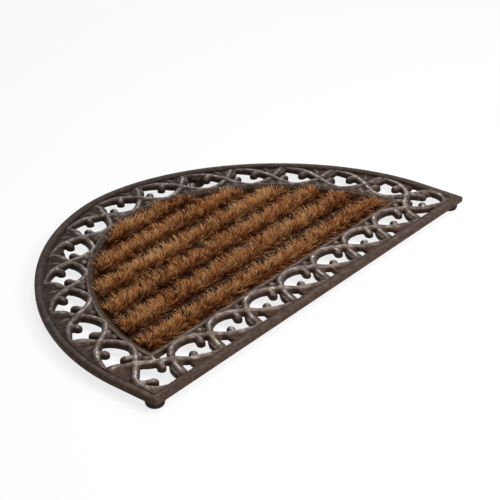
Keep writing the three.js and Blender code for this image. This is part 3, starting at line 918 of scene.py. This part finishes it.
def add_balls(recipe, curves):
    """Sets a slightly flattened ball on a short neck at the end of each finger."""
    last = recipe.node("GeometryNodeCurveEndpointSelection", values={"Start Size": 0, "End Size": 1})
    tip = recipe.node(
        "FunctionNodeBooleanMath", {"operation": "AND"}, {0: of_kind(recipe, FINGERED), 1: last}
    )
    radius = recipe.given("Ball radius")
    rise = recipe.given("Ball height")
    ball = recipe.node(
        "GeometryNodeMeshUVSphere",
        values={"Segments": BALL_SIDES, "Rings": BALL_RINGS, "Radius": radius},
    )
    neck = recipe.node(
        "GeometryNodeMeshCylinder",
        values={"Vertices": BALL_SIDES, "Radius": radius, "Depth": rise},
    )
    parts = []
    for part, share, scale in ((neck, 0.5, (1, 1, 1)), (ball, 1.0, (1, 1, BALL_FLATNESS))):
        values = {"Geometry": part, "Translation": recipe.vector(z=rise * share), "Scale": scale}
        parts.append(recipe.node("GeometryNodeTransform", values=values))
    knob = recipe.node("GeometryNodeJoinGeometry", values={0: parts})
    return recipe.node(
        "GeometryNodeInstanceOnPoints",
        values={"Points": curves, "Selection": tip, "Instance": knob},
    )


# %% Scrollwork recipe


def scroll_recipe():
    inputs = dict.fromkeys(("Ribbon section", "Bud section", "Plates"), "Object")
    inputs |= dict.fromkeys(("Ball radius", "Ball height"), "Float")
    recipe = Recipe("scrollwork", inputs)
    curves = recipe.node("GeometryNodeMeshToCurve", values={"Mesh": recipe.given("Geometry")})
    parts = [*sweep_lines(recipe, curves), add_balls(recipe, curves), recipe.shape("Plates")]
    recipe.close(recipe.node("GeometryNodeJoinGeometry", values={0: parts}))
    return recipe


# %% Cast the scrollwork
VOXEL = 0.85 * MM
SCROLL_SHARE = 0.36
BALL_RADIUS = 5.2 * MM
BALL_HEIGHT = 3.6 * MM


def make_scrollwork():
    values = {
        "Ribbon section": section_curve("ribbon_section", RIBBON_SECTION),
        "Bud section": section_curve("bud_section", BUD_SECTION),
        "Plates": make_plates(),
        "Ball radius": BALL_RADIUS,
        "Ball height": BALL_HEIGHT,
        "Material": CAST_IRON,
    }
    after = (
        ("REMESH", {"mode": "VOXEL", "voxel_size": VOXEL}),
        ("SMOOTH", {"factor": 0.5, "iterations": 2}),
        ("DECIMATE", {"ratio": SCROLL_SHARE}),
    )
    scrolls = grow("cast_scrollwork", lines.mesh("lines"), scroll_recipe(), values, after)
    scrolls.data.shade_smooth()
    settle(scrolls, "cast_iron", "cast_frame")


make_scrollwork()

# %% [markdown]
# ## Finish: coir
# Coconut fibre is dark and dusty near its root and bright orange brown where it is combed in
# use. The darker roots are also painted shade deep in the brush. No two fibres match. Each
# strand carries a map whose u runs from root to tip and whose v is the strand's tone, with
# painted shade on the near side of each row, so one small picture of colours can hold the
# whole brush.

# %% Coir
STRAND_MAP = "OFBake"
TIP_TONES = {
    0.0: (66, 36, 24),
    0.2: (128, 68, 40),
    0.45: (206, 122, 66),
    0.7: (242, 172, 105),
    0.95: (252, 214, 156),
}
# Root colours, darker than the tips: dust, and painted shade deep in the brush.
ROOT_TONES = {0.0: (56, 32, 18), 1.0: (112, 69, 40)}
FELT = ((36, 20, 12), (104, 62, 34))


def toned(finish, tone, tones):
    """A colour ramp driven by the strand's tone."""
    stops = [(place, colour(*paint)[:3]) for place, paint in tones.items()]
    return finish.node("ShaderNodeValToRGB", {"stops": stops}, {"Fac": tone})


def make_coir():
    coir = Finish("coir_fibre")
    spot = coir.node("ShaderNodeUVMap", {"uv_map": STRAND_MAP})
    roots, tips = (toned(coir, coir.axis(spot, "Y"), tones) for tones in (ROOT_TONES, TIP_TONES))
    # Darker towards the root: dust there, and painted shade deep in the brush.
    shade = coir.blend(coir.axis(spot, "X").clamped(0.35, 0.95), roots, tips)
    return coir.close({"Base Color": shade, "Roughness": 0.7, "Specular IOR Level": 0.0})


def make_felt():
    felt = Finish("coir_felt")
    fibre = felt.noise(350.0, 4.0, 0.7, felt.stretched(1, 3, 1))
    shade = felt.mottled(fibre.clamped(0.35, 0.7), FELT)
    values = {"Base Color": shade, "Roughness": 0.9, "Specular IOR Level": 0.05}
    return felt.close(values, fibre, strength=0.6)


COIR = make_coir()
COIR_FELT = make_felt()
print("finishes:", COIR.name, COIR_FELT.name)

# %% [markdown]
# ## Brush rows
# A brush row is a strip of tufts whose fibres stand up, fan out to both sides and go astray a
# little. Particle hair could do it, but the export wants plain meshes. So Geometry Nodes
# scatter points over the row's strip, give each a lean, a length and a tone, and sweep a
# three-sided strand from each. The seed is fixed, so every run grows the same brush.

# %% Where the strands stand and how they lean
ROOT_HALF = 9.5 * MM
ROW_END_GAP = 5 * MM
STRAND_ROOT = coir_top - 13.6 * MM
STRAND_TALL = coir_top - STRAND_ROOT - 0.4 * MM
CLUMPS_PER_M = 120.0
CLUMP_PULL = 6.0


def scatter(recipe):
    """Points over the row's strip, each with a lean, a tone and a girth."""
    given, chance = recipe.given, recipe.chance
    points = recipe.node(
        "GeometryNodeDistributePointsOnFaces",
        {"distribute_method": "RANDOM"},
        {"Mesh": given("Geometry"), "Density": given("Density"), "Seed": given("Seed")},
    )
    place = recipe.node("GeometryNodeInputPosition")
    across = (recipe.axis(place, "Y") - given("Row middle")) / given("Row half")

    def tuft(scale, shift):
        """Slow noise over the row, which strands that stand together share."""
        moved = recipe.node(
            "ShaderNodeVectorMath", {"operation": "ADD"}, {0: place, 1: (shift, shift, shift)}
        )
        values = {"Vector": moved, "Scale": scale, "Detail": 1.0}
        return recipe.node("ShaderNodeTexNoise", values=values)

    clump_x = (tuft(CLUMPS_PER_M, 0.0) - 0.5) * CLUMP_PULL
    clump_y = (tuft(CLUMPS_PER_M, 5.0) - 0.5) * CLUMP_PULL
    lean_x = given("Stray") * (1.3 * chance(-1.0, 1.0, 1) + clump_x)
    loose = given("Stray") * (1.0 + 0.6 * across * across)
    lean_y = given("Comb") + given("Fan") * across + loose * (1.1 * chance(-1.0, 1.0, 2) + clump_y)
    short = 0.38 * chance(0.0, 1.0, 3) ** 2.0 + 0.36 * across * across
    short = short + 0.16 * tuft(70.0, 7.0).clamped(0.38, 0.68)
    tall = given("Strand height") * (1.0 - short)
    pale = 0.35 * chance(0.0, 1.0, 4) + 0.95 * chance(0.0, 1.0, 7) ** 3.5
    drift = 0.8 * (tuft(14.0, 3.0) - 0.5)
    # Strands on the near side of each row get a darker tone: painted shade.
    shaded = (-1.0 * across).clamped(0.0, 1.0) ** 2.0
    tone = 0.22 + pale + 1.0 * (tuft(200.0, 9.0) - 0.45) + drift - 0.6 * shaded
    points = recipe.store(points, "lean", recipe.vector(lean_x, lean_y, tall), "FLOAT_VECTOR")
    points = recipe.store(points, "tone", tone)
    return recipe.store(points, "girth", chance(0.65, 1.25, 6))


# %% Bend the stalks
STUB = 1 * MM
STALK_POINTS = 4


def bend_stalks(recipe, points):
    """A short upright stub on each point, drawn out and bent over to its lean."""
    stub = recipe.node(
        "GeometryNodeCurvePrimitiveLine", {"mode": "POINTS"}, {"Start": (0, 0, 0), "End": (0, 0, STUB)}
    )
    stub = recipe.node(
        "GeometryNodeResampleCurve", {"mode": "COUNT"}, {"Curve": stub, "Count": STALK_POINTS}
    )
    stalks = recipe.node("GeometryNodeInstanceOnPoints", values={"Points": points, "Instance": stub})
    stalks = recipe.node("GeometryNodeRealizeInstances", values={0: stalks})
    share = recipe.node("GeometryNodeSplineParameter", out="Factor")
    bend = share ** 1.5
    lean = recipe.stored("lean", "FLOAT_VECTOR")
    x, y, z = (recipe.axis(lean, name) for name in "XYZ")
    shift = recipe.vector(x * bend, y * bend, share * (z - STUB))
    bent = recipe.node("GeometryNodeSetPosition", values={"Geometry": stalks, "Offset": shift})
    return recipe.store(bent, "along", share)


# %% Sweep the strands
STRAND_SIDES = 3


def sweep_strands(recipe, stalks):
    """Tapered three-sided strands, with their map on each face's corners."""
    circle = recipe.node(
        "GeometryNodeCurvePrimitiveCircle", values={"Resolution": STRAND_SIDES, "Radius": 1.0}
    )
    circle = recipe.store(circle, "edge", recipe.node("GeometryNodeInputIndex"), "INT")
    share = recipe.stored("along")
    taper = recipe.given("Girth") * recipe.stored("girth") * (1.0 - 0.55 * share)
    strands = recipe.sweep(stalks, circle, taper)
    # The edge number widens each face on the map, caps included
    edge = recipe.stored("edge")
    u = 0.02 + 0.94 * recipe.stored("along") + 0.012 * (edge * (2.0 - edge))
    v = recipe.stored("tone") + 0.006 * edge
    strands = recipe.store(strands, STRAND_MAP, recipe.vector(u, v), "FLOAT2", "CORNER")
    return recipe.node(
        "GeometryNodeSetShadeSmooth", values={"Geometry": strands, "Shade Smooth": True}
    )


# %% Brush recipe
NUMBERS = ("Row middle", "Row half", "Strand height", "Fan", "Comb", "Stray", "Girth", "Density")


def brush_recipe():
    recipe = Recipe("brush_row", {**dict.fromkeys(NUMBERS, "Float"), "Seed": "Int"})
    recipe.close(sweep_strands(recipe, bend_stalks(recipe, scatter(recipe))))
    return recipe


# %% Grow the rows
STRANDS_PER_M2 = 0.58e6
FAN = 8 * MM
STRAY = 4 * MM
GIRTH = 0.5 * MM
FIRST_SEED = 20
STRIP_STEPS = 7
FRONT_COMB = -3 * MM
BOARDS = ("front", "middle", "back")


def row_strip(middle):
    """The strip of backing that a row stands on, its ends following the inner rail."""
    levels = np.linspace(middle - ROOT_HALF, middle + ROOT_HALF, STRIP_STEPS)
    reach = [half_width(BAND_WIDTH, y + SIDE_STEP) - ROW_END_GAP for y in levels]
    vertices = [(side * r, y + FRONT, STRAND_ROOT) for y, r in zip(levels, reach) for side in (-1, 1)]
    faces = [(2 * i, 2 * i + 1, 2 * i + 3, 2 * i + 2) for i in range(len(levels) - 1)]
    return new_mesh("strip", vertices, faces=faces)


def make_rows():
    recipe = brush_recipe()
    for row in range(ROW_COUNT):
        middle = FIRST_ROW + row * ROW_PITCH
        values = {
            "Row middle": middle + FRONT,
            "Row half": ROOT_HALF,
            "Density": STRANDS_PER_M2,
            "Strand height": STRAND_TALL,
            "Fan": FAN,
            "Comb": FRONT_COMB if row == 0 else 0.0,
            "Stray": STRAY,
            "Girth": GIRTH,
            "Seed": FIRST_SEED + row,
            "Material": COIR,
        }
        brush = grow(f"coir_row_{row + 1}", row_strip(middle), recipe, values)
        settle(brush, "coir", f"coir_bristles_{BOARDS[row // 2]}")


make_rows()

# %% [markdown]
# ## Backing and boards
# The tufts come out of a felted coir strip on a thin board. Both show between the rows and
# from below. They are flat plates with eased edges, cut to the same outline as the CAD ones.

# %% Boards
BOARD_JOINT = 0.5 * MM
BOARD_LAP = 7 * MM
BOARD_END_STEPS = 12
BOARD_EASE = 0.5 * MM
FELT_EASE = 0.3 * MM
FELT_LIFT = 0.3 * MM
WOOD = ((112, 82, 54), (168, 132, 94))
WOOD_SHADOW = (120, 92, 64)


def make_wood():
    wood = Finish("board_wood")
    grain = wood.noise(420.0, 5.0, 0.65, wood.stretched(0.06, 1, 1))
    slow = wood.noise(14.0, 2.0)
    shade = wood.mottled(grain.clamped(0.3, 0.72), WOOD)
    shade = wood.blend(slow.clamped(0.3, 0.8) * 0.5, shade, colour(*WOOD_SHADOW))
    return wood.close({"Base Color": shade, "Roughness": 0.62 + 0.2 * grain}, grain, strength=0.25)


BOARD_WOOD = make_wood()


def board_plan(board):
    """Outline of one board, its ends tucked under the inner rail."""
    front = FIRST_ROW + (2 * board - 0.5) * ROW_PITCH + BOARD_JOINT / 2
    back = front + 2 * ROW_PITCH - BOARD_JOINT
    levels = np.linspace(front, back, BOARD_END_STEPS)
    reach = half_width(BAND_WIDTH - BOARD_LAP, levels)
    right = list(zip(reach, levels))
    return right + [(-x, y) for x, y in right[::-1]]


for index, board in enumerate(BOARDS):
    plan = board_plan(index)
    low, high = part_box(f"brush_board_{board}")
    slab = closed_mesh(f"board_{board}", *upright(plan, low.z, high.z), BOARD_EASE)
    settle(finished(slab, BOARD_WOOD), "board_wood", f"brush_board_{board}")
    felt_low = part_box(f"coir_bristles_{board}")[0].z
    felt_solid = upright(plan, felt_low, STRAND_ROOT + FELT_LIFT)
    felt = closed_mesh(f"coir_backing_{board}", *felt_solid, FELT_EASE)
    settle(finished(felt, COIR_FELT), "coir", f"coir_bristles_{board}")

# %% [markdown]
# ## Screws
# Nine pan-head screws hold the boards from below. They are alike, so one is turned on a lathe
# in code and Geometry Nodes set it at each place, every slot at another angle.

# %% Turned solids


def turned(profile, sides):
    """Vertices and faces of a solid turned about Z, from its lowest point on the axis up."""
    angles = np.linspace(0, 2 * math.pi, sides, endpoint=False)
    vertices = [(0, 0, profile[0][1])]
    for radius, height in profile[1:-1]:
        vertices += [(radius * math.cos(a), radius * math.sin(a), height) for a in angles]
    vertices.append((0, 0, profile[-1][1]))
    rings = len(profile) - 2
    faces = []
    for i in range(sides):
        j = (i + 1) % sides
        faces.append((0, 1 + j, 1 + i))
        for ring in range(rings - 1):
            a = 1 + ring * sides
            faces.append((a + i, a + j, a + sides + j, a + sides + i))
        faces.append((len(vertices) - 1, 1 + (rings - 1) * sides + i, 1 + (rings - 1) * sides + j))
    return vertices, faces


# %% Screw steel
STEEL = ((150, 148, 142), (186, 184, 176))


def clouded(name, noise, spread, pair, roughness, values, strength):
    """A finish whose colour, roughness and relief all follow one noise."""
    finish = Finish(name)
    cloud = finish.noise(*noise)
    shade = finish.mottled(cloud.clamped(*spread), pair)
    values = {"Base Color": shade, "Roughness": roughness + 0.2 * cloud, **values}
    return finish.close(values, cloud, strength=strength)


SCREW_STEEL = clouded(
    "screw_steel", noise=(500.0, 3.0), spread=(0.35, 0.7), pair=STEEL, roughness=0.3,
    values={"Metallic": 0.95}, strength=0.1,
)

# %% One slotted screw
SCREW_SIDES = 32
SLOT_SIZE = (9 * MM, 1.1 * MM, 1.6 * MM)


def screw_shape(low, high):
    """One pan-head screw with a slotted head, its head down, standing on its place."""
    head = 4 * MM
    shank = 1.8 * MM
    tall = 1.7 * MM
    rise = high - low
    profile = [(0, 0), (0.6 * head, 0.02 * MM), (0.86 * head, 0.3 * tall), (head, 0.68 * tall)]
    profile += [(head, tall), (shank, tall), (shank, rise - shank), (0, rise)]
    return closed_mesh("screw", *turned(profile, SCREW_SIDES))


def cut_slot(mesh):
    """Cuts the driver's slot across the head."""
    x, y, z = (size / 2 for size in SLOT_SIZE)
    section = [(-x, -y), (x, -y), (x, y), (-x, y)]
    blade_ends = ([(a, b, level) for a, b in section] for level in (-z, z))
    blade_mesh = closed_mesh("blade", *prism(*blade_ends))
    cutter = link(bpy.data.objects.new("blade", blade_mesh))
    screw = link(bpy.data.objects.new("screw", mesh))
    modify(screw, "BOOLEAN", object=cutter, operation="DIFFERENCE", solver="EXACT")
    slotted = frozen(screw)
    bpy.data.objects.remove(cutter)
    slotted.set_sharp_from_angle(angle=math.radians(SHARP_ANGLE))
    return bpy.data.objects.new("slotted_screw", slotted)


# %% Set the screws
SCREW_SEED = 5


def screw_recipe():
    recipe = Recipe("board_screws", {"Screw": "Object", "Seed": "Int"})
    points = recipe.node("GeometryNodeMeshToPoints", values={"Mesh": recipe.given("Geometry")})
    spin = recipe.vector(z=recipe.chance(0.0, math.pi))
    values = {"Points": points, "Instance": recipe.shape("Screw"), "Rotation": spin}
    recipe.close(recipe.node("GeometryNodeInstanceOnPoints", values=values))
    return recipe


def make_screws():
    nodes = [f"screw_{board}_{side}" for board in BOARDS for side in ("left", "middle", "right")]
    low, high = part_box(nodes[0])
    places = [(*box_middle(node).xy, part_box(node)[0].z) for node in nodes]
    screw = cut_slot(screw_shape(low.z, high.z))
    values = {"Screw": screw, "Seed": SCREW_SEED, "Material": SCREW_STEEL}
    screws = grow("board_screws", new_mesh("screw_places", places), screw_recipe(), values)
    settle(screws, "screw_steel", *nodes)


make_screws()

# %% [markdown]
# ## Rubber feet
# Black rubber stubs are pushed into the casting from below. Each is a turned shape, rounded at
# the sole and drawn in under the shoulder, with the faint flow marks of moulded rubber.

# %% Feet
RUBBER = ((10, 10, 9), (20, 19, 18))
FOOT_SIDES = 56
SOLE = 7.5 * MM
STUB_RADIUS = 3 * MM
FOOT_GAP = 0.3 * MM
BULGE_START = 0.12
BULGE_STEPS = 9


FOOT_RUBBER = clouded(
    "foot_rubber", noise=(160.0, 4.0, 0.6), spread=(0.3, 0.75), pair=RUBBER, roughness=0.65,
    values={"Specular IOR Level": 0.25}, strength=0.15,
)


def make_foot(node):
    low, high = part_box(node)
    middle = box_middle(node)
    radius = (high.x - low.x) / 2
    shoulder = RIM_BOTTOM - FOOT_GAP
    bulge = [
        (SOLE + (radius - SOLE) * math.sin(a) ** 0.8, shoulder * 0.62 * (1 - math.cos(a)))
        for a in np.linspace(BULGE_START, math.pi / 2, BULGE_STEPS)
    ]
    profile = [(0, 0), (SOLE, 0), *bulge, (radius, shoulder * 0.86)]
    profile += [(radius - 0.5 * MM, shoulder * 0.96), (radius - 1.2 * MM, shoulder)]
    profile += [(STUB_RADIUS, shoulder), (STUB_RADIUS, high.z - 1 * MM)]
    profile += [(STUB_RADIUS - 1 * MM, high.z), (0, high.z)]
    vertices, faces = turned(profile, FOOT_SIDES)
    placed = [(x + middle.x, y + middle.y, z) for x, y, z in vertices]
    foot = finished(closed_mesh(node + "_rubber", placed, faces), FOOT_RUBBER, sharp=45)
    settle(foot, "foot_rubber", node)


for node in ("foot_front_left", "foot_front_right", *BACK_FEET):
    make_foot(node)

# %% [markdown]
# ## Floor and light
# The mat is shown on plain white under soft studio light. A large softbox above gives the plain
# light. A small one far behind lies where the iron mirrors it to the camera, so it draws the
# sheen on the crests. One in front keeps the front face from going black. The floor stays a
# real surface, so it keeps the soft shadow under the rim.

# %% Floor
FLOOR_SIZE = 30
FLOOR_GLOW = 0.8
PAPER = (252, 252, 252)


def seen(graph):
    """1 for rays that come from the camera or off glossy metal, else 0."""
    path = graph.node("ShaderNodeLightPath", out="Is Camera Ray")
    rays = path + path.out("Is Glossy Ray") + path.out("Is Transmission Ray")
    return rays.clamped(0.0, 1.0)


def make_floor():
    finish = Finish("floor")
    paper = finish.node("ShaderNodeBsdfDiffuse", values={"Color": colour(*PAPER)})
    white = finish.node("ShaderNodeEmission", values={"Color": (1, 1, 1, 1), "Strength": 1.0})
    glow = FLOOR_GLOW * seen(finish)
    shader = finish.node("ShaderNodeMixShader", values={0: glow, 1: paper, 2: white})
    finish.leave("ShaderNodeOutputMaterial", shader)
    half = FLOOR_SIZE / 2
    corners = [(-half, -half, 0), (half, -half, 0), (half, half, 0), (-half, half, 0)]
    mesh = new_mesh("floor", corners, faces=[(0, 1, 2, 3)])
    mesh.materials.append(finish.material)
    floor = link(bpy.data.objects.new("floor", mesh))


make_floor()

# %% Lamps
SOFTBOXES = {
    "softbox_behind": {"place": (1.8, 1.45, 1.45), "size": 0.5, "power": 14},
    "softbox_above": {"place": (0.1, -0.3, 2.4), "size": 1.2, "power": 23},
    "softbox_front_right": {"place": (0.3, -1.1, 1.0), "size": 0.6, "power": 17},
}
WORLD_LIGHT = 0.14


def make_lights():
    for name, facts in SOFTBOXES.items():
        lamp = bpy.data.lights.new(name, "AREA")
        lamp.shape = "SQUARE"
        lamp.size = facts["size"]
        lamp.energy = facts["power"]
        holder = link(bpy.data.objects.new(name, lamp))
        holder.location = facts["place"]
        holder.rotation_euler = (-Vector(facts["place"])).to_track_quat("-Z", "Y").to_euler()
    world = bpy.data.worlds.new("studio")
    world.use_nodes = True
    world.node_tree.nodes.clear()
    graph = Graph(world.node_tree)
    strength = WORLD_LIGHT + (1 - WORLD_LIGHT) * seen(graph)
    sky = graph.node("ShaderNodeBackground", values={"Color": (1, 1, 1, 1), "Strength": strength})
    graph.leave("ShaderNodeOutputWorld", sky)
    bpy.context.scene.world = world


make_lights()
bpy.context.scene.view_settings.view_transform = "Standard"
print("lamps:", ", ".join(SOFTBOXES))
